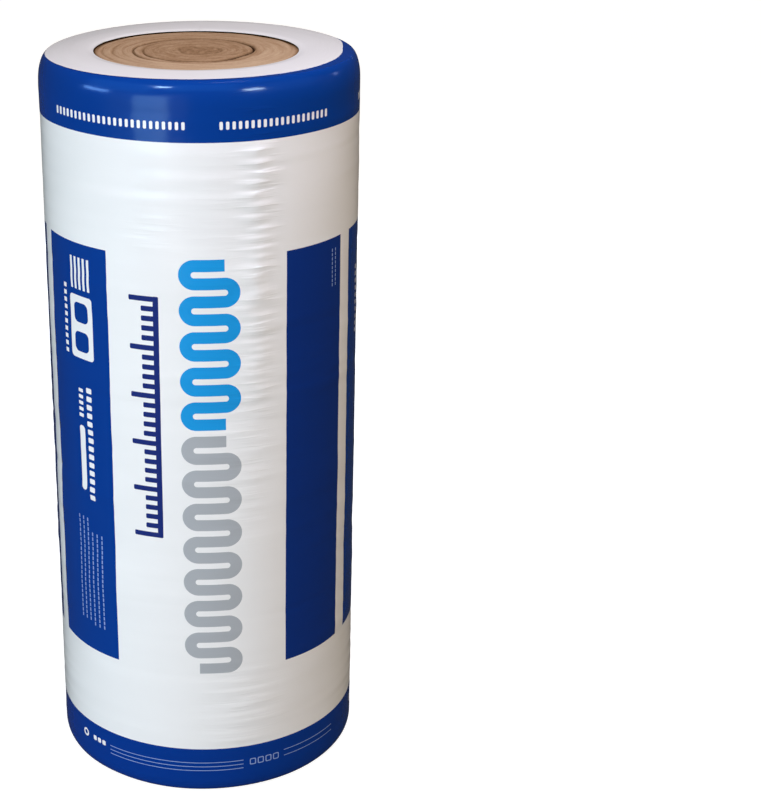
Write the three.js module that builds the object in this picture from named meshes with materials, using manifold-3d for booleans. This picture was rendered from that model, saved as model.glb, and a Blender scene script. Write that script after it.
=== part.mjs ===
// An insulation roll: a mineral wool blanket wound tight, then sleeved in plastic film that is
// turned in over both ends. Millimetres, +Z up. The roll stands on one end, and the origin is
// the centre of the ring of film that it stands on.

import * as THREE from 'three';
import { mergeVertices } from 'three/addons/utils/BufferGeometryUtils.js';
import Module from 'manifold-3d';

// The blanket before it is wound. Its width becomes the height of the standing roll.
const BLANKET_WIDTH = 1200;
const BLANKET_LENGTH = 13000;

// The finished roll, measured over the film.
const ROLL_DIAMETER = 505;

// The film: three turns of thin film, with the air that they trap.
const FILM_WALL = 0.5;
const FILM_TURN_IN = 95;

// The rounded shoulders that the film draws into the rims of the roll. The roll's own weight
// presses the one that it stands on flatter.
const TOP_SHOULDER_IN = 14;
const TOP_SHOULDER_DOWN = 42;
const FOOT_SHOULDER_IN = 18;
const FOOT_SHOULDER_UP = 23;

// The wool lies just inside the film, and sinks a little where the film leaves it bare.
const FILM_CLEARANCE = 0.3;
const EYE_SINK = 4;
const EYE_SINK_RUN = 22;

// The joint between one turn and the next, seen on the ends as a spiral furrow.
const FURROW_WIDTH = 3.6;
const FURROW_DEPTH = 3.2;

// The dimple where the first turn is folded on itself.
const DIMPLE_RADIUS = 9;
const DIMPLE_DEPTH = 7;

// How finely the round forms are cut into flats.
const FLATS_AROUND = 60;
const FLATS_IN_SHOULDER = 6;
const FLATS_IN_SINK = 3;
const FURROW_STEPS = 360;
const FURROW_STEP_GROWTH = 0.75;

// Worked out from the sizes above.
const rollRadius = ROLL_DIAMETER / 2;
const eyeRadius = rollRadius - FILM_TURN_IN;
const woolInset = FILM_WALL + FILM_CLEARANCE;
const woolRadius = rollRadius - woolInset;
const rollHeight = BLANKET_WIDTH + 2 * woolInset;
const flatRadius = rollRadius - Math.max(TOP_SHOULDER_IN, FOOT_SHOULDER_IN);
const turnThickness = (Math.PI * woolRadius ** 2) / BLANKET_LENGTH;

const wasm = await Module();
wasm.setup();

// A turned piece: the profile holds (radius, height) points and is spun about +Z.
function turned(profile) {
  const geometry = new THREE.LatheGeometry(profile, FLATS_AROUND);
  geometry.rotateX(Math.PI / 2);
  return geometry;
}

// The outline from the foot of the roll to its top, set in from the outside by inset: a quarter
// ellipse up from the bottom ring, the straight side, and a quarter ellipse over to the top ring.
// A Path gives an elliptical arc twice as many flats as it is asked for.
function sideProfile(inset) {
  const side = new THREE.Path();
  side.absellipse(
    rollRadius - FOOT_SHOULDER_IN, FOOT_SHOULDER_UP,
    FOOT_SHOULDER_IN - inset, FOOT_SHOULDER_UP - inset, -Math.PI / 2, 0, false,
  );
  side.absellipse(
    rollRadius - TOP_SHOULDER_IN, rollHeight - TOP_SHOULDER_DOWN,
    TOP_SHOULDER_IN - inset, TOP_SHOULDER_DOWN - inset, 0, Math.PI / 2, false,
  );
  return side.getPoints(FLATS_IN_SHOULDER / 2);
}

// How far the bare wool has sunk below the film's seat at a radius: all of it inside the eye,
// easing to nothing under the film.
function sinkAt(radius) {
  const eased = THREE.MathUtils.smoothstep(radius, eyeRadius, eyeRadius + EYE_SINK_RUN);
  return EYE_SINK * (1 - eased);
}

// The top end of the wool, from the film's seat in to the centre of the dimple.
function woolEndProfile() {
  const points = [];
  for (let step = FLATS_IN_SINK; step >= 0; step--) {
    const radius = eyeRadius + (EYE_SINK_RUN * step) / FLATS_IN_SINK;
    points.push(new THREE.Vector2(radius, rollHeight - woolInset - sinkAt(radius)));
  }
  const sunkHeight = rollHeight - woolInset - EYE_SINK;
  points.push(new THREE.Vector2(DIMPLE_RADIUS, sunkHeight));
  points.push(new THREE.Vector2(0, sunkHeight - DIMPLE_DEPTH));
  return points;
}

// The same points at the other end of the roll, in the opposite order.
function mirrored(points) {
  return points.map((point) => new THREE.Vector2(point.x, rollHeight - point.y)).reverse();
}

// The line of the joint between turns on the top end: an even spiral from the dimple out to the
// shoulders, lying on the wool. Its steps turn through smaller angles as the turns get wider.
class TurnSpiral extends THREE.Curve {
  constructor() {
    super();
    this.startRadius = Math.max(DIMPLE_RADIUS, turnThickness / 2);
    this.endRadius = flatRadius - FURROW_WIDTH;
  }

  getPoint(t, target = new THREE.Vector3()) {
    const radius = THREE.MathUtils.lerp(this.startRadius, this.endRadius, t ** FURROW_STEP_GROWTH);
    const angle = (2 * Math.PI * radius) / turnThickness;
    const height = rollHeight - woolInset - sinkAt(radius);
    return target.set(radius * Math.cos(angle), radius * Math.sin(angle), height);
  }

  getUtoTmapping(u) {
    return u;
  }
}

// The wedge that is run along the spiral to cut the furrow. Its point is FURROW_DEPTH below the
// line, and it stands the same height above it, so that the cut comes clean out of the wool.
function furrowCutter() {
  const wedge = new THREE.Shape();
  wedge.moveTo(FURROW_DEPTH, 0);
  wedge.lineTo(-FURROW_DEPTH, FURROW_WIDTH);
  wedge.lineTo(-FURROW_DEPTH, -FURROW_WIDTH);
  wedge.closePath();
  return new THREE.ExtrudeGeometry(wedge, { steps: FURROW_STEPS, extrudePath: new TurnSpiral() });
}

// A closed geometry as a solid for cutting, without the triangles that the axis squeezes flat.
function toSolid(geometry) {
  const bare = geometry.clone();
  bare.deleteAttribute('normal');
  bare.deleteAttribute('uv');
  const merged = mergeVertices(bare);
  const corners = merged.index.array;
  const triangles = [];
  for (let i = 0; i < corners.length; i += 3) {
    const [a, b, c] = corners.slice(i, i + 3);
    if (a !== b && b !== c && c !== a) triangles.push(a, b, c);
  }
  const vertProperties = new Float32Array(merged.attributes.position.array);
  const triVerts = new Uint32Array(triangles);
  return new wasm.Manifold(new wasm.Mesh({ numProp: 3, vertProperties, triVerts }));
}

// A cut solid as a geometry again.
function toGeometry(solid) {
  const mesh = solid.getMesh();
  const geometry = new THREE.BufferGeometry();
  geometry.setAttribute('position', new THREE.BufferAttribute(mesh.vertProperties, 3));
  geometry.setIndex(new THREE.BufferAttribute(mesh.triVerts, 1));
  geometry.computeVertexNormals();
  return geometry;
}

// The wound blanket: one turned solid, with the spiral of its turns cut into both ends.
function woolRoll() {
  const end = woolEndProfile();
  const blank = turned([...mirrored(end), ...sideProfile(woolInset), ...end]);
  const topCutter = furrowCutter();
  const bottomCutter = topCutter.clone();
  bottomCutter.rotateX(Math.PI);
  bottomCutter.translate(0, 0, rollHeight);
  const cut = toSolid(blank).subtract(toSolid(topCutter)).subtract(toSolid(bottomCutter));
  const material = new THREE.MeshStandardMaterial({ color: '#b8926c', roughness: 0.95, metalness: 0 });
  const mesh = new THREE.Mesh(toGeometry(cut), material);
  mesh.name = 'wool_roll';
  return mesh;
}

// The film sleeve: an even wall round the side, over both shoulders and in to the eye at each end.
function filmWrap() {
  const outside = [
    new THREE.Vector2(eyeRadius, 0),
    ...sideProfile(0),
    new THREE.Vector2(eyeRadius, rollHeight),
  ];
  const inside = [
    new THREE.Vector2(eyeRadius, rollHeight - FILM_WALL),
    ...sideProfile(FILM_WALL).reverse(),
    new THREE.Vector2(eyeRadius, FILM_WALL),
  ];
  const geometry = turned([...outside, ...inside, outside[0]]);
  const material = new THREE.MeshStandardMaterial({ color: '#e9edf3', roughness: 0.3, metalness: 0 });
  const mesh = new THREE.Mesh(geometry, material);
  mesh.name = 'film_wrap';
  return mesh;
}

const insulationRoll = new THREE.Group();
insulationRoll.add(woolRoll());
insulationRoll.add(filmWrap());

export default insulationRoll;
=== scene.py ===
"""A roll of mineral wool insulation, standing on its end in its printed film sleeve.

Metres, +Z up. Angles run round the roll from its front (-Y) towards +X. Arcs are measured along
the outside of the film, so an arc is an angle times the roll's radius.
"""

import math

import bpy
import numpy as np
from mathutils import Matrix, Vector


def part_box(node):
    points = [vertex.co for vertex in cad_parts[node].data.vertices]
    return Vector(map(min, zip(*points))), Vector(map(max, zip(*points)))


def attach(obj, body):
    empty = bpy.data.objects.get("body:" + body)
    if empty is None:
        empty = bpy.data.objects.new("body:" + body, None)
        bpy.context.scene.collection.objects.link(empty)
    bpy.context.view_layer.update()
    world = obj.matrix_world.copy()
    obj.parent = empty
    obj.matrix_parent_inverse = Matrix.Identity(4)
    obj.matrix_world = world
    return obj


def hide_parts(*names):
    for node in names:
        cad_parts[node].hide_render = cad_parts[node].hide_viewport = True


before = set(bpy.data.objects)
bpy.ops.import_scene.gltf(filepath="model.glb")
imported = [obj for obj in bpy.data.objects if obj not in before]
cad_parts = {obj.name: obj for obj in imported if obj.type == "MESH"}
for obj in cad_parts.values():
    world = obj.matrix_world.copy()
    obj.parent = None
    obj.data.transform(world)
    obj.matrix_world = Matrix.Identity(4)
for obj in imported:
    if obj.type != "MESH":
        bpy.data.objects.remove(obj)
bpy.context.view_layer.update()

MM = 0.001

# ---------------------------------------------------------------- sizes of the roll

film_low, film_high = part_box("film_wrap")
wool_low, wool_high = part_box("wool_roll")
ROLL_RADIUS = (film_high[0] - film_low[0]) / 2
ROLL_HEIGHT = film_high[2]
WOOL_RADIUS = (wool_high[0] - wool_low[0]) / 2

FILM_TURN_IN = 95 * MM
EYE_RADIUS = ROLL_RADIUS - FILM_TURN_IN
TOP_SHOULDER = (14 * MM, 42 * MM)
FOOT_SHOULDER = (18 * MM, 23 * MM)
SIDE_TOP = ROLL_HEIGHT - TOP_SHOULDER[1]
SIDE_FOOT = FOOT_SHOULDER[1]
BLANKET_LENGTH = 13.0
TURN_THICKNESS = math.pi * WOOL_RADIUS**2 / BLANKET_LENGTH


# ---------------------------------------------------------------- small tools


def linear(hex_colour):
    """An sRGB hex colour as the linear red, green, blue and alpha that a shader takes."""
    parts = [int(hex_colour[i:i + 2], 16) / 255 for i in (1, 3, 5)]
    curve = [p / 12.92 if p <= 0.04045 else ((p + 0.055) / 1.055) ** 2.4 for p in parts]
    return (*curve, 1.0)


def quarter_length(half_axes):
    """The length of a quarter of an ellipse, by Ramanujan's formula: a quarter of pi times three
    times the sum of the half axes less the root of (3a + b)(a + 3b)."""
    a, b = half_axes
    return math.pi / 4 * (3 * (a + b) - math.sqrt((3 * a + b) * (a + 3 * b)))


def smooth(low, high, value):
    """Ease from 0 at low to 1 at high: three times the square of the share less twice its cube."""
    share = np.clip((value - low) / (high - low), 0, 1)
    return share * share * (3 - 2 * share)


def add_node(tree, kind, inputs=None, **settings):
    """Add a node, set its properties, and set its inputs or link them to other nodes' outputs."""
    node = tree.nodes.new(kind)
    for name, value in settings.items():
        setattr(node, name, value)
    for key, value in (inputs or {}).items():
        if isinstance(value, bpy.types.Node):
            value = value.outputs[0]
        if isinstance(value, bpy.types.NodeSocket):
            tree.links.new(value, node.inputs[key])
        else:
            node.inputs[key].default_value = value
    return node


def new_material(name):
    """An empty node material: the material and its tree."""
    material = bpy.data.materials.new(name)
    material.use_nodes = True
    material.node_tree.nodes.clear()
    return material, material.node_tree


def grid_corners(rows, columns, closed_rows=False):
    """The row and column of every corner of every face of a grid that closes round its columns.

    They aren't wrapped round yet, so a map can tell the first column from the one past the last.
    """
    along = rows if closed_rows else rows - 1
    row, column = np.meshgrid(np.arange(along), np.arange(columns), indexing="ij")
    corner_rows = np.stack([row, row, row + 1, row + 1], axis=-1).reshape(-1, 4)
    corner_columns = np.stack([column, column + 1, column + 1, column], axis=-1).reshape(-1, 4)
    return corner_rows, corner_columns


def make_piece(name, points, faces, material):
    """One smooth mesh object from points and faces, riding on the roll's only body."""
    mesh = bpy.data.meshes.new(name)
    mesh.from_pydata(points.reshape(-1, 3).tolist(), [], faces)
    mesh.polygons.foreach_set("use_smooth", np.ones(len(mesh.polygons), dtype=bool))
    mesh.materials.append(material)
    mesh.update()
    piece = bpy.data.objects.new(name, mesh)
    bpy.context.scene.collection.objects.link(piece)
    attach(piece, "root")
    return piece


def add_map(piece, name, corner_u, corner_v):
    """A UV map from the u and v of every corner of every face, in face order."""
    layer = piece.data.uv_layers.new(name=name)
    both = np.stack([corner_u, corner_v], axis=-1)
    layer.data.foreach_set("uv", both.astype(np.float32).ravel())


def add_attribute(piece, name, kind, key, values):
    """A point attribute from one value, or one vector, for each point."""
    layer = piece.data.attributes.new(name, kind, "POINT")
    layer.data.foreach_set(key, values.astype(np.float32).ravel())


# ---------------------------------------------------------------- the print on the film
# Each mark is (ink, middle, size, corner radius), with places as (arc, height) in millimetres.
# Arcs count from the left edge of the first blue panel, and the print repeats round the roll.

REPEAT = 597
PANEL_EDGE = -306

FILM_WHITE = "#f6f8fa"
INK_BLUE = "#033b92"
INK_FOOT = "#033790"
INK_PANEL = "#053b92"
# A darker, redder copy of the panel ink for the second panel: painted shade.
INK_PANEL_PAINTED_SHADE = "#0d3282"
INK_LIGHT_BLUE = "#1e9ce6"
INK_GREY = "#b0b6bd"
INK_NAVY = "#1f2f77"
INK_FAINT = "#8ca4d8"

ALL_ROUND = 2 * REPEAT
TOP_BAND = (1112, (SIDE_TOP + quarter_length(TOP_SHOULDER)) / MM)
FOOT_BAND = ((SIDE_FOOT - quarter_length(FOOT_SHOULDER)) / MM - 6, 86)
PANEL_HEIGHTS = (232, 936)


def span(ink, arcs, heights, corner=0.3):
    """A mark given by its two edges each way."""
    middle = (sum(arcs) / 2, sum(heights) / 2)
    size = (arcs[1] - arcs[0], heights[1] - heights[0])
    return (ink, middle, size, corner)


MARKS = [
    span(INK_BLUE, (-ALL_ROUND, ALL_ROUND), TOP_BAND),
    span(INK_FOOT, (-ALL_ROUND, ALL_ROUND), FOOT_BAND),
    span(INK_PANEL, (0, 150), PANEL_HEIGHTS),
    # The second panel, in the darker copy of the panel ink: painted shade.
    span(INK_PANEL_PAINTED_SHADE, (440, 565), PANEL_HEIGHTS),
    # Left panel: a white tile with two blue pads.
    (FILM_WHITE, (91, 799), (53, 104), 6),
    (INK_PANEL, (91, 823), (33, 33), 9),
    (INK_PANEL, (91, 775), (33, 33), 9),
    # Left panel: a rounded bar.
    (FILM_WHITE, (84, 577), (13, 112), 6),
    # Foot band: a ring.
    (FILM_WHITE, (60, 58), (15, 15), 7.5),
    (INK_FOOT, (60, 58), (8, 8), 4),
    # White field: the spine of a measuring scale.
    (INK_NAVY, (233, 672), (9, 403), 2),
]

# Grids of like marks: (ink, first middle, size, corner radius, steps, counts across and up).
GRIDS = [
    (FILM_WHITE, (71, 887), (5, 52), 0.3, (10, 0), (5, 1)),
    (FILM_WHITE, (50, 752), (8, 7), 0.3, (0, 12), (1, 10)),
    (FILM_WHITE, (104, 512), (12, 9), 2, (0, 14.2), (1, 14)),
    (FILM_WHITE, (84, 651), (11, 6), 1.5, (0, 10.5), (1, 5)),
    (INK_FAINT, (66, 288), (2.6, 6.4), 0.3, (11, 8.6), (3, 22)),
    (INK_FAINT, (99, 282), (2.6, 6.4), 0.3, (11, 8.6), (3, 20)),
    (INK_FAINT, (540, 860), (2.2, 5), 0.3, (9, 7), (2, 9)),
    (FILM_WHITE, (50, 1137), (5, 12), 2, (9.6, 0), (25, 1)),
    (FILM_WHITE, (336, 1137), (5, 12), 2, (9.6, 0), (20, 1)),
    (FILM_WHITE, (86, 58), (8, 9), 2.5, (11.5, 0), (3, 1)),
    (INK_FAINT, (244, 44.4), (239, 1.3), 0.3, (0, 7.4), (1, 3)),
    (INK_FAINT, (380, 54), (11, 12), 2.5, (14, 0), (4, 1)),
    (INK_FOOT, (380, 54), (7.5, 8.5), 1.5, (14, 0), (4, 1)),
    (INK_FAINT, (496, 50), (117, 1.3), 0.3, (0, 11), (1, 2)),
    # The scale's marks: every fifth is long.
    (INK_NAVY, (222, 475), (26, 8.5), 2, (0, 15.76), (1, 26)),
    (INK_NAVY, (212, 475), (46, 8.5), 2, (0, 78.8), (1, 6)),
]

# The looped line that drawings use for blanket insulation, run up the white field: level strokes
# joined on alternate sides by half circles. It is grey below and light blue above, and the half
# circle between the two is left out.
LOOP_ARCS = (269, 363)
LOOP_HEIGHTS = (229, 934)
LOOP_STROKE = 19
LOOP_COUNT = 24
LOOP_STEP = (LOOP_HEIGHTS[1] - LOOP_HEIGHTS[0] - LOOP_STROKE) / LOOP_COUNT
LOOP_BEND = LOOP_STEP / 2
LOOP_FIRST = LOOP_HEIGHTS[0] + LOOP_STROKE / 2
LOOP_GREY_STROKES = 15
LOOP_CHANGE = LOOP_FIRST + (LOOP_GREY_STROKES - 0.5) * LOOP_STEP
LOOP_END = LOOP_BEND + LOOP_STROKE / 2


def patch_mask(tree, place, middle, size, corner):
    """1 inside a rectangle with rounded corners: where the part of the distance from its middle
    that is past its half size less the corner is shorter than the corner radius."""
    off = add_node(tree, "ShaderNodeVectorMath", {0: place, 1: (*middle, 0)}, operation="SUBTRACT")
    off = add_node(tree, "ShaderNodeVectorMath", {0: off}, operation="ABSOLUTE")
    inner = (size[0] / 2 - corner, size[1] / 2 - corner, 1)
    off = add_node(tree, "ShaderNodeVectorMath", {0: off, 1: inner}, operation="SUBTRACT")
    off = add_node(tree, "ShaderNodeVectorMath", {0: off, 1: (0, 0, 0)}, operation="MAXIMUM")
    far = add_node(tree, "ShaderNodeVectorMath", {0: off}, operation="LENGTH").outputs["Value"]
    return add_node(tree, "ShaderNodeMath", {0: far, 1: corner}, operation="LESS_THAN")


def grid_mask(tree, place, middle, size, corner, steps, counts):
    """1 inside any of a grid of like marks: the place is wrapped back on to the first mark, and
    the result is kept to the size of the grid, with a tenth of a step to spare."""
    half = (steps[0] / 2 or ALL_ROUND, steps[1] / 2 or ALL_ROUND)
    low = (middle[0] - half[0], middle[1] - half[1], -1)
    high = (middle[0] + half[0], middle[1] + half[1], 1)
    folded = add_node(tree, "ShaderNodeVectorMath", {0: place, 1: high, 2: low}, operation="WRAP")
    mark = patch_mask(tree, folded, middle, size, corner)
    run = (steps[0] * (counts[0] - 1), steps[1] * (counts[1] - 1))
    whole_middle = (middle[0] + run[0] / 2, middle[1] + run[1] / 2)
    whole_size = (size[0] + run[0] + steps[0] * 0.1, size[1] + run[1] + steps[1] * 0.1)
    whole = patch_mask(tree, place, whole_middle, whole_size, 0.3)
    return add_node(tree, "ShaderNodeMath", {0: mark, 1: whole}, operation="MULTIPLY")


def loop_mask(tree, place):
    """1 on the looped line. Its strokes run across the field one step apart, joined by half
    circles on alternate sides, and the mask is where the nearest of them is under half a stroke
    away. Within a step, heights count from half way between two strokes."""
    step, bend = LOOP_STEP, LOOP_BEND
    reach = (LOOP_ARCS[1] - LOOP_ARCS[0] - LOOP_STROKE) / 2 - bend
    middle = sum(LOOP_ARCS) / 2
    parts = add_node(tree, "ShaderNodeSeparateXYZ", {0: place})
    across = add_node(tree, "ShaderNodeMath", {0: parts.outputs[0], 1: middle}, operation="SUBTRACT")
    up = add_node(tree, "ShaderNodeMath", {0: parts.outputs[1], 1: LOOP_FIRST}, operation="SUBTRACT")
    pair = add_node(tree, "ShaderNodeMath", {0: up, 1: 2 * step}, operation="FLOORED_MODULO")
    is_right = add_node(tree, "ShaderNodeMath", {0: pair, 1: step}, operation="LESS_THAN")
    side = add_node(tree, "ShaderNodeMath", {0: is_right, 1: 2, 2: -1}, operation="MULTIPLY_ADD")
    in_step = add_node(tree, "ShaderNodeMath", {0: pair, 1: step}, operation="FLOORED_MODULO")
    off = add_node(tree, "ShaderNodeMath", {0: in_step, 1: bend}, operation="SUBTRACT")
    off = add_node(tree, "ShaderNodeMath", {0: off}, operation="ABSOLUTE")
    off_next = add_node(tree, "ShaderNodeMath", {0: step, 1: off}, operation="SUBTRACT")
    joined = add_node(tree, "ShaderNodeMath", {0: across, 1: side}, operation="MULTIPLY")
    past = add_node(tree, "ShaderNodeMath", {0: joined, 1: reach}, operation="SUBTRACT")
    open_side = add_node(tree, "ShaderNodeMath", {0: joined, 1: -1, 2: -reach}, operation="MULTIPLY_ADD")
    gaps = []
    for beyond, height in ((past, off), (open_side, off_next)):
        beyond = add_node(tree, "ShaderNodeMath", {0: beyond, 1: 0}, operation="MAXIMUM")
        corner = add_node(tree, "ShaderNodeCombineXYZ", {0: beyond, 1: height})
        far = add_node(tree, "ShaderNodeVectorMath", {0: corner}, operation="LENGTH").outputs["Value"]
        gap = add_node(tree, "ShaderNodeMath", {0: far, 1: bend}, operation="SUBTRACT")
        gaps.append(add_node(tree, "ShaderNodeMath", {0: gap}, operation="ABSOLUTE"))
    on_open_side = add_node(tree, "ShaderNodeMath", {0: open_side, 1: 0}, operation="GREATER_THAN")
    gap = add_node(tree, "ShaderNodeMix", {0: on_open_side, 2: gaps[0], 3: gaps[1]})
    return add_node(tree, "ShaderNodeMath", {0: gap, 1: LOOP_STROKE / 2}, operation="LESS_THAN")


def print_colours(tree, place):
    """The colour of the printed film: every mark laid over the white film in turn."""
    layers = [(ink, patch_mask(tree, place, *shape)) for ink, *shape in MARKS]
    layers += [(ink, grid_mask(tree, place, *shape)) for ink, *shape in GRIDS]
    loop = loop_mask(tree, place)
    parts = (
        (INK_GREY, (LOOP_HEIGHTS[0], LOOP_CHANGE)),
        (INK_LIGHT_BLUE, (LOOP_CHANGE, LOOP_HEIGHTS[1])),
    )
    for ink, heights in parts:
        field = patch_mask(tree, place, *span(ink, LOOP_ARCS, heights)[1:])
        part = add_node(tree, "ShaderNodeMath", {0: loop, 1: field}, operation="MULTIPLY")
        layers.append((ink, part))
    # The ends of both lines stop short of the half circles that would carry them on.
    ends = (
        (LOOP_ARCS[0] + LOOP_END / 2, LOOP_FIRST, LOOP_STROKE),
        (LOOP_ARCS[1] - LOOP_END / 2, LOOP_CHANGE, LOOP_STEP + LOOP_STROKE),
        (LOOP_ARCS[1] - LOOP_END / 2, LOOP_FIRST + LOOP_COUNT * LOOP_STEP, LOOP_STROKE),
    )
    for arc, height, tall in ends:
        end = patch_mask(tree, place, (arc, height), (LOOP_END, tall + 2), 0.3)
        layers.append((FILM_WHITE, end))
    colour = linear(FILM_WHITE)
    for ink, mask in layers:
        inputs = {0: mask, 6: colour, 7: linear(ink)}
        colour = add_node(tree, "ShaderNodeMix", inputs, data_type="RGBA").outputs[2]
    return colour


def stretched_noise(tree, in_mm, size, detail):
    """Noise whose forms are about the given size in millimetres, round and up the roll."""
    scale = (1 / size[0], 1 / size[1], 0)
    place = add_node(tree, "ShaderNodeVectorMath", {0: in_mm, 1: scale}, operation="MULTIPLY")
    return add_node(tree, "ShaderNodeTexNoise", {"Vector": place, "Scale": 1.0, "Detail": detail})


def printed_film():
    """Printed polyethylene film, blown and stretched: glossy, with a faint drawn grain that runs
    round the roll, so its highlights break into fine level streaks."""
    material, tree = new_material("printed_polyethylene_film")
    print_map = add_node(tree, "ShaderNodeUVMap", uv_map="print")
    in_mm = add_node(
        tree, "ShaderNodeVectorMath", {0: print_map, 1: (1 / MM, 1 / MM, 0)}, operation="MULTIPLY"
    )
    from_edge = add_node(
        tree, "ShaderNodeVectorMath", {0: in_mm, 1: (PANEL_EDGE, 0, 0)}, operation="SUBTRACT"
    )
    wrap = {0: from_edge, 1: (REPEAT, 9999, 1), 2: (0, -9999, -1)}
    place = add_node(tree, "ShaderNodeVectorMath", wrap, operation="WRAP")
    ink = print_colours(tree, place)

    # Grain: 60 mm long round the roll and 3 mm high, and cloudier haze ten times that size.
    grain = stretched_noise(tree, in_mm, (60, 3), 3.0)
    haze = stretched_noise(tree, in_mm, (400, 60), 2.0)
    shade = add_node(tree, "ShaderNodeMapRange", {0: haze, 1: 0.3, 2: 0.7, 3: 0.975, 4: 1.0})
    colour = add_node(
        tree, "ShaderNodeVectorMath", {0: ink, "Scale": shade}, operation="SCALE"
    )
    roughness = add_node(tree, "ShaderNodeMapRange", {0: grain, 1: 0.3, 2: 0.7, 3: 0.12, 4: 0.17})

    # Creases: fine level ridges, about 60 mm long and 10 mm apart, where the film is tight.
    tight = add_node(tree, "ShaderNodeAttribute", attribute_name="tight")
    crease = stretched_noise(tree, in_mm, (60, 5), 1.0)
    crease = add_node(
        tree, "ShaderNodeMapRange", {0: crease, 1: 0.5, 2: 0.72}, interpolation_type="SMOOTHSTEP"
    )
    crease = add_node(
        tree, "ShaderNodeMath", {0: crease, 1: tight.outputs["Fac"]}, operation="MULTIPLY"
    )
    relief = add_node(
        tree, "ShaderNodeMath", {0: grain, 1: 0.12, 2: crease}, operation="MULTIPLY_ADD"
    )
    bump = add_node(tree, "ShaderNodeBump", {"Strength": 1.0, "Distance": 0.3 * MM, "Height": relief})
    shader = add_node(tree, "ShaderNodeBsdfPrincipled", {
        "Base Color": colour,
        "Roughness": roughness.outputs[0],
        "Normal": bump,
    })
    add_node(tree, "ShaderNodeOutputMaterial", {"Surface": shader})
    return material


# ---------------------------------------------------------------- the film sleeve

# How finely the sleeve is cut: columns round it, rows up its side, and rows on its rings, whose
# places are counted in millimetres from the edge of the eye.
FILM_COLUMNS = 144
SIDE_ROW_SPACING = 2.0 * MM
RING_ROWS = (0, 0.3, 1.0, 2.5, 5, 9, 15, 24, 36, 50, 64)
LINING_ROWS = (0, 1, 6, 20)

# The free edges round the eyes: how thick they look, and how far they turn down, and over what
# run. Elsewhere the lining keeps behind the ripples.
FILM_EDGE = 0.6 * MM
RIM_DROOP = 1.2 * MM
DROOP_RUN = 12 * MM
INNER_GAP = 2.5 * MM

# The loose outer end of the film: how far it stands proud, and the angles over which it rises.
LAP_RISE = 0.5 * MM
LAP_ANGLES = (172, 179)

# The top band isn't printed true to the roll: how far past the shoulder it reaches on to the ring,
# in millimetres, at angles in degrees. At the back it ends on the shoulder.
BAND_REACH_ANGLES = (-180, -120, -90, -60, 0, 30, 54, 76, 90, 98, 107, 140)
BAND_REACH = (-12, -9, -3, 1.5, 7, 11.5, 14.5, 15, 14, 9, 2, -11)

# The edges of the eyes aren't quite round, and the top rim has settled unevenly: each is a mean,
# a sideways and a forward shift, and an oval, in millimetres.
TOP_EYE = (1.0, -4.9, 4.0, -2.0)
FOOT_EYE = (-1.0, 3.5, -2.5, 1.5)
EYE_SHIFT_RUN = 45 * MM
RIM_SETTLED = (2.0, -1.25, -0.25, -1.75)
RIM_SETTLED_RUN = 60 * MM


def shoulder(start, end, count, inset, half_axes, height):
    """Radii and heights on a quarter ellipse of a shoulder, between two angles."""
    across, along = half_axes
    angles = np.radians(np.linspace(start, end, count))
    radii = ROLL_RADIUS - across + (across - inset) * np.cos(angles)
    heights = height + (along - inset) * np.sin(angles)
    return radii, heights


def film_outline():
    """Radii and heights of the film's outside, from the edge of the eye under the foot, up the
    side, to the edge of the eye on top. Rows crowd together at the free edges."""
    from_edge = np.array(RING_ROWS) * MM
    ring_radii = EYE_RADIUS + from_edge
    droop = RIM_DROOP * (1 - smooth(0, DROOP_RUN, from_edge))
    side_rows = round((SIDE_TOP - SIDE_FOOT) / SIDE_ROW_SPACING)
    side = np.linspace(SIDE_FOOT, SIDE_TOP, side_rows + 1)[1:-1]
    foot = shoulder(-90, 0, 13, 0, FOOT_SHOULDER, SIDE_FOOT)
    top = shoulder(0, 90, 25, 0, TOP_SHOULDER, SIDE_TOP)
    radii = [ring_radii, foot[0], np.full(side.size, ROLL_RADIUS), top[0], ring_radii[::-1]]
    heights = [droop, foot[1], side, top[1], ROLL_HEIGHT - droop[::-1]]
    return np.concatenate(radii), np.concatenate(heights)


def film_lining():
    """Radii and heights of the film's inside, from the eye on top back down to the eye below. It
    is as thin as film at the free edges, and well behind the ripples elsewhere."""
    top = shoulder(90, 0, 5, INNER_GAP, TOP_SHOULDER, SIDE_TOP)
    foot = shoulder(0, -90, 5, INNER_GAP, FOOT_SHOULDER, SIDE_FOOT)
    ring_radii = EYE_RADIUS + np.array(LINING_ROWS) * MM
    at_edge = RIM_DROOP + FILM_EDGE
    ring_depth = np.array([at_edge, at_edge, at_edge + 0.1 * MM, INNER_GAP])
    side = np.linspace(SIDE_TOP, SIDE_FOOT, 6)[1:-1]
    radii = [ring_radii, top[0], np.full(side.size, ROLL_RADIUS - INNER_GAP), foot[0], ring_radii[::-1]]
    heights = [ROLL_HEIGHT - ring_depth, top[1], side, foot[1], ring_depth[::-1]]
    return np.concatenate(radii), np.concatenate(heights)


def uneven(angles, shape):
    """An unevenness round the roll, from four numbers as above: the edge of an eye outside its
    mean circle, or the top rim below the ring."""
    mean, sideways, forward, oval = shape
    shift = mean + sideways * np.sin(angles) + forward * np.cos(angles) + oval * np.cos(2 * angles)
    return shift * MM


def settled(angles, radii, heights):
    """How far the wool and the film have settled at the top rim: all of the unevenness at the
    rim, easing to nothing in towards the eye and down the side."""
    outward = smooth(ROLL_RADIUS - RIM_SETTLED_RUN, ROLL_RADIUS, radii)
    upward = smooth(ROLL_HEIGHT - RIM_SETTLED_RUN, ROLL_HEIGHT - 10 * MM, heights)
    return uneven(angles, RIM_SETTLED) * outward * upward


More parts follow.
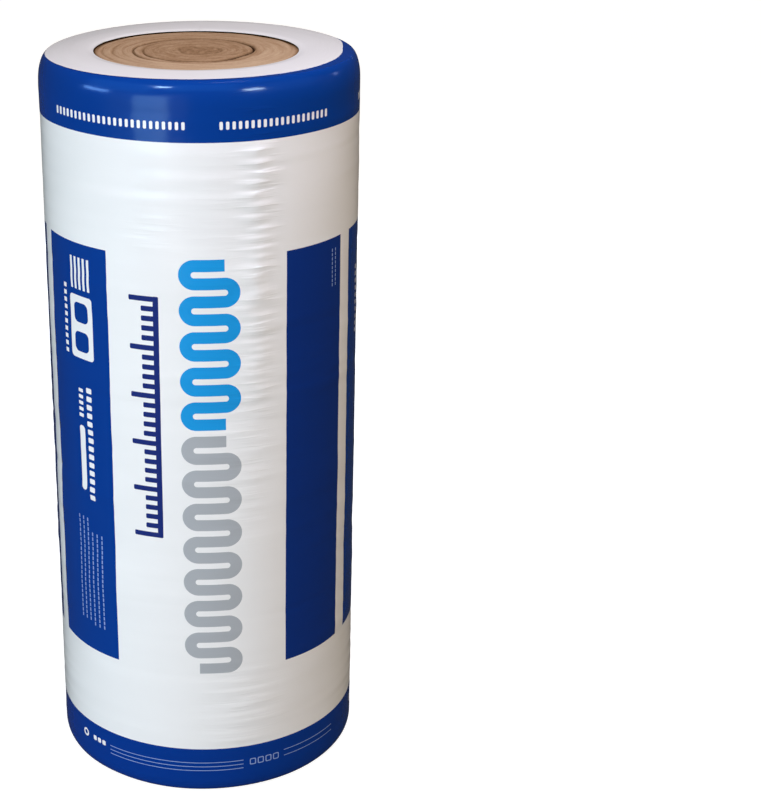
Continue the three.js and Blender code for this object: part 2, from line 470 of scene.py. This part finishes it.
# Where the film is drawn tight and stands in ridges: angle and spread in degrees, height and
# rise in metres, and how high the ridges are as a share of their width.
TIGHT_SPOTS = (
    (19.5, 4.2, 1.02, 0.17, 1.15),
    (18.5, 4.2, 0.8, 0.12, 0.85),
    (14, 6, 0.6, 0.14, 0.3),
    (13, 10, 0.16, 0.08, 0.42),
    (118, 7, 0.98, 0.16, 0.75),
    (126, 8, 0.7, 0.15, 0.6),
    (122, 14, 0.2, 0.1, 0.35),
    (-104, 7, 1.0, 0.15, 0.7),
    (-98, 9, 0.5, 0.2, 0.5),
    (-160, 9, 0.9, 0.2, 0.5),
    (4, 8, 1.0, 0.1, 0.13),
    (-18, 7, 0.97, 0.04, 0.18),
)

# The ridges: how far from a spot's middle they run, in rises; their spacing and their widths
# above the crest, in millimetres; how much wider they are below it; and the heights between
# which they rise out of the foot and die away under the top band.
RIDGE_SEED = 13
RIDGE_RUN = 1.3
RIDGE_SPACING = (10, 20)
RIDGE_WIDTHS = (2.8, 3.6)
RIDGE_FALL = 3.0
RIDGE_FOOT = (0.085, 0.1)
RIDGE_TOP = (1.1, 1.112)

# The ripples: half their arcs in radians, their widths in millimetres, and their crests as
# shares of their widths.
RIPPLE_SEED = 11
RIPPLE_COUNT = 420
RIPPLE_HALF_ARCS = (0.15, 0.6)
RIPPLE_WIDTHS = (3, 9)
RIPPLE_CRESTS = (0.02, 0.07)

# The swell: how many waves go round the roll, how long they are up it, and how high each is.
SWELL_SEED = 12
SWELL_LOBES = (2, 3, 5, 8)
SWELL_WAVES = (0.7, 0.35, 0.16)
SWELL_HEIGHT = 0.16 * MM

# The map that the finish is baked to: the share of its width that the roll takes, with the edge
# of the lap past it, and the shares of its height at which the outside ends and the lining starts.
BAKED_TURN = 0.998
BAKED_OUTSIDE = 0.97
BAKED_LINING = 0.972


def turned_from(angles, middle):
    """How far angles are past a middle, between half a turn back and half a turn on."""
    return (angles - middle + math.pi) % (2 * math.pi) - math.pi


def tightness(angles, along):
    """How tight the film is at each point of its side, from 0 to 1: a sum of Gaussian spots, half
    as wide again as the ridges in them."""
    share = np.zeros((along.size, angles.size))
    for degrees, spread, height, rise, steepness in TIGHT_SPOTS:
        turn = turned_from(angles, math.radians(degrees)) / math.radians(1.5 * spread)
        up = (along - height) / rise
        share += 2 * steepness * np.exp(-(up**2))[:, None] * np.exp(-(turn**2))[None, :]
    return np.minimum(share, 1)


def tight_ridges(angles, along):
    """Level ridges one above another in the tight spots. Each is a Gaussian round the roll and up
    it, less wide above its crest than below, and climbs slightly."""
    rng = np.random.default_rng(RIDGE_SEED)
    field = np.zeros((along.size, angles.size))
    for degrees, spread, height, rise, steepness in TIGHT_SPOTS:
        level = height - RIDGE_RUN * rise
        while level < height + RIDGE_RUN * rise:
            turn = turned_from(angles, math.radians(degrees + 0.3 * spread * rng.normal()))
            half = math.radians(spread * rng.uniform(0.7, 1.3))
            width = rng.uniform(*RIDGE_WIDTHS) * MM
            share = steepness * rng.uniform(0.85, 1.05) * math.exp(-(((level - height) / rise) ** 4))
            off = along[:, None] - level - rng.normal(1, 4) * MM * turn
            across = off / np.where(off > 0, width, RIDGE_FALL * width)
            field += share * width * np.exp(-((turn / half) ** 2)) * np.exp(-0.5 * across**2)
            level += rng.uniform(*RIDGE_SPACING) * MM
    on_side = smooth(*RIDGE_FOOT, along) * (1 - smooth(*RIDGE_TOP, along))
    return field * on_side[:, None]


def hoop_ripples(angles, along):
    """Soft ripples that run round the roll where the film was drawn over the wool: each is a
    Gaussian ridge up the roll, fading at both ends of its arc, and climbing slightly along it."""
    rng = np.random.default_rng(RIPPLE_SEED)
    middles = rng.uniform(-math.pi, math.pi, RIPPLE_COUNT)
    heights = rng.uniform(0.02, ROLL_HEIGHT - 0.03, RIPPLE_COUNT)
    half_arcs = rng.uniform(*RIPPLE_HALF_ARCS, RIPPLE_COUNT)
    widths = rng.uniform(*RIPPLE_WIDTHS, RIPPLE_COUNT) * MM
    climbs = rng.normal(2, 4, RIPPLE_COUNT) * MM
    crests = rng.uniform(*RIPPLE_CRESTS, RIPPLE_COUNT) * widths
    crests = crests * rng.choice([1, 1, -1], RIPPLE_COUNT)
    field = np.zeros((along.size, angles.size))
    for middle, height, half, width, climb, crest in zip(
        middles, heights, half_arcs, widths, climbs, crests
    ):
        rows = np.abs(along - height) < 5 * width
        turn = turned_from(angles, middle)
        fade = np.exp(-((turn / half) ** 4))
        off = along[rows, None] - height - climb * turn
        field[rows] += crest * fade * np.exp(-0.5 * (off / width) ** 2)
    return field


def slow_swell(angles, along):
    """The unevenness of the wool under the film: a sum of long waves, each a sine up the roll
    times a cosine round it."""
    rng = np.random.default_rng(SWELL_SEED)
    field = np.zeros((along.size, angles.size))
    for lobes in SWELL_LOBES:
        for wave in SWELL_WAVES:
            turn = lobes * angles + rng.uniform(0, 2 * math.pi)
            climb = 2 * math.pi * along / wave + rng.uniform(0, 2 * math.pi)
            field += SWELL_HEIGHT * np.sin(climb)[:, None] * np.cos(turn)[None, :]
    return field


def film_lap(angles):
    """How far the film's outer end stands proud: nothing until shortly before the back, where it
    rises to the loose edge."""
    return LAP_RISE * smooth(*np.radians(LAP_ANGLES), angles)


def make_film_sleeve():
    """The sleeve: a closed outline turned about +Z, its outside moved along its own normal by the
    ripples, the swell and the lap."""
    outer_radii, outer_heights = film_outline()
    lining_radii, lining_heights = film_lining()
    angles = np.linspace(-math.pi, math.pi, FILM_COLUMNS + 1)
    steps = np.hypot(np.diff(outer_radii), np.diff(outer_heights))
    along = np.concatenate([[0], np.cumsum(steps)])
    foot_row = np.argmax(outer_heights >= SIDE_FOOT)
    along += SIDE_FOOT - along[foot_row]
    normal_radial = np.gradient(outer_heights)
    normal_up = -np.gradient(outer_radii)
    length = np.hypot(normal_radial, normal_up)

    on_ring = smooth(ROLL_RADIUS - 6 * MM, ROLL_RADIUS - TOP_SHOULDER[0], outer_radii)
    tight = tightness(angles, along)
    moved = hoop_ripples(angles, along) + tight_ridges(angles, along)
    moved += slow_swell(angles, along) + film_lap(angles)
    moved *= (1 - on_ring)[:, None]
    radii = outer_radii[:, None] + moved * (normal_radial / length)[:, None]
    heights = outer_heights[:, None] + moved * (normal_up / length)[:, None]
    radii = np.vstack([radii, np.repeat(lining_radii[:, None], angles.size, axis=1)])
    heights = np.vstack([heights, np.repeat(lining_heights[:, None], angles.size, axis=1)])
    near_eye = 1 - smooth(0, EYE_SHIFT_RUN, radii - EYE_RADIUS)
    on_top = heights > ROLL_HEIGHT / 2
    radii += near_eye * np.where(on_top, uneven(angles, TOP_EYE), uneven(angles, FOOT_EYE))
    heights -= settled(angles, radii, heights)
    points = np.stack([radii * np.sin(angles), -radii * np.cos(angles), heights], axis=-1)

    rows, columns = radii.shape
    corner_rows, corner_columns = grid_corners(rows, columns, closed_rows=True)
    faces = (corner_rows % rows) * columns + corner_columns % columns
    piece = make_piece("film_sleeve", points, faces.tolist(), printed_film())
    arcs = np.append(angles, math.pi) * ROLL_RADIUS
    print_heights = np.concatenate([along, np.full(rows - along.size + 1, ROLL_HEIGHT + 1)])
    near_ring = smooth(SIDE_TOP, SIDE_TOP + 0.7 * TOP_SHOULDER[1], print_heights)
    reach = np.interp(np.degrees(arcs / ROLL_RADIUS), BAND_REACH_ANGLES, BAND_REACH, period=360) * MM
    shift = near_ring[corner_rows] * reach[corner_columns]
    add_map(piece, "print", arcs[corner_columns], print_heights[corner_rows] - shift)
    lining_tight = np.zeros((rows - along.size, columns))
    add_attribute(piece, "tight", "FLOAT", "value", np.vstack([tight, lining_tight]))
    turn_share = np.append(np.linspace(0, BAKED_TURN, columns), 1.0)
    outer_share = BAKED_OUTSIDE * (along - along[0]) / (along[-1] - along[0])
    lining_share = np.linspace(BAKED_LINING, 1.0, rows - along.size + 1)
    row_share = np.concatenate([outer_share, lining_share])
    add_map(piece, "OFBake", turn_share[corner_columns], row_share[corner_rows])
    piece.data.uv_layers.active = piece.data.uv_layers["print"]
    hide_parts("film_wrap")
    return piece


# ---------------------------------------------------------------- the wound blanket

# How finely the blanket is cut: columns round it, and rows on its ends out to just under the
# film, with two more rows under it.
WOOL_COLUMNS = 360
WOOL_ROW_SPACING = 1.7 * MM
FINE_RADIUS = EYE_RADIUS + 14 * MM
COVERED_RADII = (EYE_RADIUS + 24 * MM, ROLL_RADIUS - FOOT_SHOULDER[0] - 6 * MM)

# The ends lie this far inside the film's, and sink a little more under its edge. Their relief
# dies away over a run under the film, and never stands high enough to touch it.
END_DEPTH = 3.2 * MM
EDGE_SINK = 0.5 * MM
RELIEF_RUN = (EYE_RADIUS + 4 * MM, EYE_RADIUS + 12 * MM)
RELIEF_LIMIT = 1 * MM

# Where the joint gapes, which side it shows on, which side gets painted light (paler, as if lit from the
# front), and the folded first turn.
GAPE_RADIUS = 94 * MM
GAPE_SPREAD = 9 * MM
GAPE_SIDE = math.pi
PAINTED_LIGHT_SIDE = -1.3
FOLD_RADIUS = 33 * MM

# The relief of an end in millimetres: its lumps and layers, and how deep the joint, the folded
# first turn and the groove round that turn are.
LUMP_RELIEF = 0.4
LAYER_RELIEF = 0.2
JOINT_DEPTH = 3.2
FOLD_DEPTH = 1.0
GROOVE_DEPTH = 1.2

# The tone of an end: its mean, what its layers and lumps add, and what the joint, the folded
# first turn, the groove round that turn and the film's shadow take away.
MEAN_TONE = 0.57
LAYER_TONE = 0.07
LUMP_TONE = 0.08
JOINT_TONE = 0.6
FOLD_TONE = 0.12
GROOVE_TONE = 0.18
SHADOW_TONE = 0.6

# The tones of the blanket's side, which the film hides, and of the centre of each end.
SIDE_TONE = 0.6
CENTRE_TONE = 0.3

# The wool's colours against its tone with the noises added, on a ramp that ends at RAMP_TOP.
WOOL_COLOURS = ((0.4, "#322317"), (0.8, "#8c6f54"), (1.05, "#a4896e"), (1.35, "#b79f84"))
RAMP_TOP = 1.6

# The turns aren't quite round: how far they lie outside an even spiral, in millimetres, at angles
# in degrees from the roll's right, the run of radii over which that sets in, and their wobble.
TURN_ANGLES = (-180, -130, -90, -60, -35, -15, 5, 25, 90, 170)
TURN_SHIFT = (4.5, 2, 0, -6, -11, -9, -6, -3, 0, 5)
SHIFT_RUN = (20 * MM, 80 * MM)
TURN_WOBBLE = 1.8 * MM

# Widths in millimetres at the roll's sides, and what they gain towards its front and back: the
# joint's, which gains where it gapes, and the film's shadow on the wool.
JOINT_WIDTHS = (1.5, 3)
SHADOW_WIDTHS = (2, 7)


def angle_noise(angles, radii, seed, lobes, ring_wave):
    """Smooth noise over the end of the roll: a sum of waves round it, each with its own drift
    from ring to ring."""
    rng = np.random.default_rng(seed)
    field = np.zeros(np.broadcast(angles, radii).shape)
    for lobe in lobes:
        start, drift, wave = rng.uniform(0, 2 * math.pi, 3)
        bend = 2 * math.pi * radii / (ring_wave * (0.7 + 0.6 * rng.random()))
        field += np.cos(lobe * angles + start + 2 * np.sin(bend + drift)) * np.cos(0.5 * bend + wave)
    return field / math.sqrt(len(lobes))


def wool_end(angles, radii, seed):
    """The relief and the tone of the cut end of the blanket, wound as an even spiral.

    The joint between two turns lies where the radius over the turn's thickness less the share
    of the circle is a whole number. Most of the joint is pressed shut and faint. It gapes over
    one turn and a half, and shows better on one side. The first turn is folded on itself.
    """
    shift = np.interp(np.degrees(angles), TURN_ANGLES, TURN_SHIFT, period=360) * MM
    wobble = TURN_WOBBLE * angle_noise(angles, radii, seed, (1, 2, 3, 5), 70 * MM)
    even = radii + wobble - shift * smooth(*SHIFT_RUN, radii)
    turns = even / TURN_THICKNESS - angles / (2 * math.pi)
    share = turns - np.floor(turns)
    from_joint = np.minimum(share, 1 - share) * TURN_THICKNESS
    gape = np.exp(-(((even - GAPE_RADIUS) / GAPE_SPREAD) ** 4))
    one_side = smooth(0.35, 1.0, np.cos(angles - GAPE_SIDE))
    one_side = one_side * smooth(GAPE_RADIUS - 20 * MM, EYE_RADIUS - 20 * MM, radii)
    patchy = 0.5 + 0.5 * angle_noise(angles, radii, seed + 1, (2, 3, 5, 8), 45 * MM)
    at_sides = 0.65 + 0.35 * np.cos(angles) ** 2
    strength = np.clip(0.08 + 0.08 * patchy + 1.1 * at_sides * gape + 0.25 * one_side, 0, 1)
    width = (JOINT_WIDTHS[0] + JOINT_WIDTHS[1] * gape * np.abs(np.sin(angles))) * MM
    joint = strength * np.exp(-((from_joint / width) ** 2))
    layers = angle_noise(angles, radii, seed + 3, (3, 6, 9, 14), 6 * MM)
    lumps = angle_noise(angles, radii, seed + 4, (2, 4, 7, 11), 30 * MM)
    fold = radii + 5 * MM * angle_noise(angles, radii, seed + 5, (1, 2, 3), 200 * MM)
    inner = 1 - smooth(FOLD_RADIUS - 3 * MM, FOLD_RADIUS + 2 * MM, fold)
    fold_edge = np.exp(-(((fold - FOLD_RADIUS) / (2 * MM)) ** 2)) * np.abs(np.cos(angles))
    relief = LUMP_RELIEF * lumps + LAYER_RELIEF * layers - JOINT_DEPTH * joint
    relief = relief - FOLD_DEPTH * inner - GROOVE_DEPTH * fold_edge
    outer = smooth(GAPE_RADIUS - 8 * MM, GAPE_RADIUS + 12 * MM, radii)
    # The outer turns are paler in their own tone; the cosine term is painted light, paler on the front
    # as if lit there.
    outer_tone_and_painted_light = outer * (0.2 + 0.13 * np.cos(angles - PAINTED_LIGHT_SIDE))
    tone = MEAN_TONE + LAYER_TONE * layers + LUMP_TONE * lumps + outer_tone_and_painted_light
    tone = tone - JOINT_TONE * joint - FOLD_TONE * inner - GROOVE_TONE * fold_edge
    return relief * MM, np.clip(tone, 0, 1)


def mineral_wool():
    """Mineral wool, cut across its layers: a dry matt tangle of fine brown fibres, darker in the
    joints, with each layer's edge showing as a streak along the turn."""
    material, tree = new_material("brown_mineral_wool")
    tone = add_node(tree, "ShaderNodeAttribute", attribute_name="tone")
    winding = add_node(tree, "ShaderNodeAttribute", attribute_name="winding")
    layers = add_node(tree, "ShaderNodeTexNoise", {
        "Vector": winding.outputs["Vector"], "Scale": 1.0, "Detail": 5.0, "Roughness": 0.65,
    })
    place = add_node(tree, "ShaderNodeTexCoord").outputs["Object"]
    tufts = add_node(tree, "ShaderNodeTexNoise", {"Vector": place, "Scale": 260.0, "Detail": 6.0})
    mixed = add_node(
        tree, "ShaderNodeMath", {0: layers, 1: 0.35, 2: tone.outputs["Fac"]}, operation="MULTIPLY_ADD"
    )
    mixed = add_node(tree, "ShaderNodeMath", {0: tufts, 1: 0.35, 2: mixed}, operation="MULTIPLY_ADD")
    ramp = add_node(tree, "ShaderNodeValToRGB")
    level = add_node(tree, "ShaderNodeMath", {0: mixed, 1: 1 / RAMP_TOP}, operation="MULTIPLY")
    tree.links.new(level.outputs[0], ramp.inputs[0])
    stops = ramp.color_ramp.elements
    for stop, (place_on_ramp, hex_colour) in zip(stops, (WOOL_COLOURS[0], WOOL_COLOURS[-1])):
        stop.position = place_on_ramp / RAMP_TOP
        stop.color = linear(hex_colour)
    for place_on_ramp, hex_colour in WOOL_COLOURS[1:-1]:
        stops.new(place_on_ramp / RAMP_TOP).color = linear(hex_colour)
    bump = add_node(tree, "ShaderNodeBump", {"Strength": 0.6, "Distance": 1.0 * MM, "Height": mixed})
    shader = add_node(tree, "ShaderNodeBsdfPrincipled", {
        "Base Color": ramp.outputs[0],
        "Roughness": 1.0,
        "Specular IOR Level": 0.0,
        "Normal": bump,
    })
    add_node(tree, "ShaderNodeOutputMaterial", {"Surface": shader})
    return material


def make_wound_wool():
    """The wound blanket: a closed outline turned about +Z, with a fine grid on each end."""
    fine = np.arange(WOOL_ROW_SPACING, FINE_RADIUS, WOOL_ROW_SPACING)
    end_radii = np.concatenate([fine, COVERED_RADII])
    inset = ROLL_RADIUS - WOOL_RADIUS + 4 * MM
    foot = shoulder(-80, 0, 4, inset, FOOT_SHOULDER, SIDE_FOOT)
    top = shoulder(0, 80, 4, inset, TOP_SHOULDER, SIDE_TOP)
    angles = np.linspace(-math.pi, math.pi, WOOL_COLUMNS, endpoint=False)
    turn = angles[None, :] - math.pi / 2
    ends = []
    for seed, hand, eye in ((21, -1, FOOT_EYE), (41, 1, TOP_EYE)):
        relief, tone = wool_end(hand * turn, end_radii[:, None], seed)
        past_edge = end_radii[:, None] - EYE_RADIUS - uneven(angles, eye)
        shaded = (SHADOW_WIDTHS[0] + SHADOW_WIDTHS[1] * np.abs(np.sin(angles))) * MM
        under_film = smooth(-1, 0, past_edge / shaded)
        tone = tone - SHADOW_TONE * under_film
        relief = (1 - under_film) * relief - EDGE_SINK * under_film
        shown = 1 - smooth(*RELIEF_RUN, end_radii)[:, None]
        ends.append((np.minimum(relief * shown, RELIEF_LIMIT), tone))
    (foot_relief, foot_tone), (top_relief, top_tone) = ends
    foot_heights = END_DEPTH - foot_relief
    top_heights = ROLL_HEIGHT - END_DEPTH + top_relief

    around = np.ones((1, WOOL_COLUMNS))
    side_radii = np.concatenate([foot[0], top[0]])[:, None] * around
    side_heights = np.concatenate([foot[1], top[1]])[:, None] * around
    radii = np.vstack([end_radii[:, None] * around, side_radii, end_radii[::-1, None] * around])
    heights = np.vstack([foot_heights, side_heights, top_heights[::-1]])
    heights -= settled(angles, radii, heights)
    tone = np.vstack([foot_tone, np.full(side_radii.shape, SIDE_TONE), top_tone[::-1]])
    grid = np.stack([radii * np.sin(angles), -radii * np.cos(angles), heights], axis=-1)
    rows, columns = radii.shape
    corner_rows, corner_columns = grid_corners(rows, columns)
    faces = (corner_rows * columns + corner_columns % columns).tolist()
    low_pole, high_pole = rows * columns, rows * columns + 1
    first = np.arange(columns)
    after = (first + 1) % columns
    last = (rows - 1) * columns
    faces += np.stack([np.full(columns, low_pole), after, first], axis=-1).tolist()
    faces += np.stack([np.full(columns, high_pole), last + first, last + after], axis=-1).tolist()
    poles = np.array([[0, 0, heights[0].mean()], [0, 0, heights[-1].mean()]])
    points = np.vstack([grid.reshape(-1, 3), poles])
    piece = make_piece("wound_wool", points, faces, mineral_wool())
    add_attribute(piece, "tone", "FLOAT", "value", np.append(tone.ravel(), [CENTRE_TONE] * 2))
    winding = np.stack([6 * np.cos(angles) * around, 6 * np.sin(angles) * around], axis=-1)
    winding = np.repeat(winding.reshape(1, WOOL_COLUMNS, 2), rows, axis=0)
    ring = radii[:, :, None] / (1.6 * MM)
    winding = np.concatenate([winding, ring], axis=-1).reshape(-1, 3)
    add_attribute(piece, "winding", "FLOAT_VECTOR", "vector", np.vstack([winding, np.zeros((2, 3))]))
    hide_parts("wool_roll")
    return piece


# ---------------------------------------------------------------- stage, light and camera

SEEN_GLOW = 0.92
MIRRORED_GLOW = 0.035


def ray_kinds(tree):
    """1 on rays from the camera, and 1 on rays mirrored by gloss or sent through something."""
    path = add_node(tree, "ShaderNodeLightPath")
    kinds = {0: path.outputs["Is Glossy Ray"], 1: path.outputs["Is Transmission Ray"]}
    mirrored = add_node(tree, "ShaderNodeMath", kinds, operation="MAXIMUM")
    return path.outputs["Is Camera Ray"], mirrored


def make_floor():
    """A plain pale floor: white where it is seen and with the roll's soft shadow, and dim where
    it is mirrored."""
    material, tree = new_material("pale_floor")
    from_camera, mirrored = ray_kinds(tree)
    glow = add_node(tree, "ShaderNodeMath", {0: from_camera, 1: SEEN_GLOW}, operation="MULTIPLY")
    sheet = add_node(tree, "ShaderNodeBsdfDiffuse", {"Color": linear("#a0a0a0")})
    light = add_node(tree, "ShaderNodeEmission", {"Color": (1, 1, 1, 1), "Strength": glow})
    lit = add_node(tree, "ShaderNodeAddShader", {0: sheet, 1: light})
    dim = add_node(tree, "ShaderNodeEmission", {"Color": (1, 1, 1, 1), "Strength": MIRRORED_GLOW})
    both = add_node(tree, "ShaderNodeMixShader", {0: mirrored, 1: lit, 2: dim})
    add_node(tree, "ShaderNodeOutputMaterial", {"Surface": both})
    bpy.ops.mesh.primitive_circle_add(vertices=96, radius=60, fill_type="NGON")
    floor = bpy.context.object
    floor.name = "floor"
    floor.data.materials.append(material)


def make_world():
    """White where it is seen, dim where it is mirrored, and a plain soft light on the roll."""
    world = bpy.data.worlds.new("studio")
    bpy.context.scene.world = world
    world.use_nodes = True
    tree = world.node_tree
    tree.nodes.clear()
    from_camera, mirrored = ray_kinds(tree)
    glow = add_node(
        tree, "ShaderNodeMath", {0: mirrored, 1: MIRRORED_GLOW, 2: from_camera},
        operation="MULTIPLY_ADD",
    )
    seen = add_node(tree, "ShaderNodeMath", {0: from_camera, 1: mirrored}, operation="MAXIMUM")
    soft = add_node(tree, "ShaderNodeBackground", {"Color": linear("#ffedce"), "Strength": 0.36})
    white = add_node(tree, "ShaderNodeBackground", {"Color": (1, 1, 1, 1), "Strength": glow})
    both = add_node(tree, "ShaderNodeMixShader", {0: seen, 1: soft, 2: white})
    add_node(tree, "ShaderNodeOutputWorld", {"Surface": both})


def aim(place, target):
    """A turn that points an object's -Z from its place at a target, with +Y upwards."""
    return (Vector(target) - Vector(place)).to_track_quat("-Z", "Y").to_matrix().to_4x4()


def soft_box(name, azimuth, distance, heights, width, watts, hex_colour, lights="diffuse"):
    """An upright area lamp on a circle round the roll, facing the roll's axis. It lights the
    surfaces as a diffuse lamp, or it is only mirrored in them as a gloss lamp."""
    lamp = bpy.data.lights.new(name, "AREA")
    lamp.shape = "RECTANGLE"
    lamp.size, lamp.size_y = width, heights[1] - heights[0]
    lamp.energy = watts
    lamp.color = linear(hex_colour)[:3]
    lamp_object = bpy.data.objects.new(name, lamp)
    bpy.context.scene.collection.objects.link(lamp_object)
    turn = math.radians(azimuth)
    middle = sum(heights) / 2
    place = (distance * math.sin(turn), -distance * math.cos(turn), middle)
    lamp_object.matrix_world = Matrix.Translation(place) @ aim(place, (0, 0, min(middle, 0.8)))
    lamp_object.visible_camera = False
    lamp_object.visible_diffuse = lights == "diffuse"
    lamp_object.visible_glossy = lights == "gloss"
    return lamp_object


def make_lights():
    """A wide cool key from the left and a plain one nearly in front, a weak fill from the right,
    two behind and one overhead. Then the lamps that show as highlights: a window beside the key,
    a high lamp and a low one each side, and wide dim ones that the shoulder mirrors."""
    soft_box("key_left", -54, 3.1, (0.0, 1.75), 1.1, 32, "#c0e8ff")
    soft_box("key_front", -21, 3.1, (0.0, 1.75), 1.1, 40, "#fdfbff")
    soft_box("fill_right", 98, 3.1, (1.0, 2.4), 1.1, 16, "#ffe0bc")
    soft_box("back_right", 160, 3.1, (0.2, 2.0), 1.1, 34, "#d6e8ff")
    soft_box("back_left", -164, 3.1, (0.2, 2.0), 1.1, 30, "#d6e8ff")
    soft_box("overhead", 30, 0.6, (2.2, 2.6), 0.6, 16.5, "#f2eeff")
    soft_box("window", -33, 2.5, (0.5, 1.46), 0.98, 7.6, "#a6e0ff", "gloss")
    soft_box("high_right", 38, 2.4, (1.84, 2.0), 0.62, 7.2, "#d0f0ff", "gloss")
    soft_box("high_left", -28, 2.4, (2.46, 2.59), 0.45, 9.7, "#b0dcff", "gloss")
    soft_box("left", -75, 2.4, (1.45, 1.61), 0.95, 6, "#7cb8ff", "gloss")
    soft_box("right", 110, 2.4, (1.5, 1.75), 0.2, 0.4, "#b8ccff", "gloss")
    soft_box("sky_left", -60, 2.4, (1.7, 2.9), 2.4, 8.9, "#4aa4ff", "gloss")
    soft_box("sky_front", 0, 2.4, (2.0, 3.4), 2.5, 10, "#4aa4ff", "gloss")
    soft_box("sky_right", 60, 2.4, (1.45, 2.5), 2.4, 4.2, "#5a96ff", "gloss")


# The view: the lens is long for the frame and the roll stands left of its middle.
IMAGE_WIDTH, IMAGE_HEIGHT = 762, 800
FOCAL_PIXELS = 1882
CENTRE_COLUMN, CENTRE_ROW = 300, 400
CAMERA_DISTANCE = 11.664 * ROLL_RADIUS
CAMERA_HEIGHT = 7.035 * ROLL_RADIUS
CAMERA_DOWN = 21.63
CAMERA_PAN = 3.13
CAMERA_ROLL = 0.36
SENSOR = 36.0


def make_camera():
    """The camera, turned right by its pan, tipped down, then rolled."""
    pan, down, roll = (math.radians(a) for a in (CAMERA_PAN, CAMERA_DOWN, CAMERA_ROLL))
    ahead = Vector((
        math.sin(pan) * math.cos(down), math.cos(pan) * math.cos(down), -math.sin(down)
    ))
    level = Vector((math.cos(pan), -math.sin(pan), 0))
    upright = level.cross(ahead)
    right = level * math.cos(roll) + upright * math.sin(roll)
    up = upright * math.cos(roll) - level * math.sin(roll)
    camera = bpy.data.cameras.new("camera")
    camera.sensor_width = SENSOR
    camera.lens = FOCAL_PIXELS * SENSOR / IMAGE_HEIGHT
    camera.shift_x = (IMAGE_WIDTH / 2 - CENTRE_COLUMN) / IMAGE_HEIGHT
    camera.shift_y = (CENTRE_ROW - IMAGE_HEIGHT / 2) / IMAGE_HEIGHT
    camera_object = bpy.data.objects.new("camera", camera)
    bpy.context.scene.collection.objects.link(camera_object)
    turn = Matrix((right, up, -ahead)).transposed().to_4x4()
    camera_object.matrix_world = Matrix.Translation((0, -CAMERA_DISTANCE, CAMERA_HEIGHT)) @ turn
    bpy.context.scene.camera = camera_object


make_camera()
make_film_sleeve()
make_wound_wool()
make_floor()
make_world()
make_lights()

bpy.context.scene.view_settings.view_transform = "Standard"
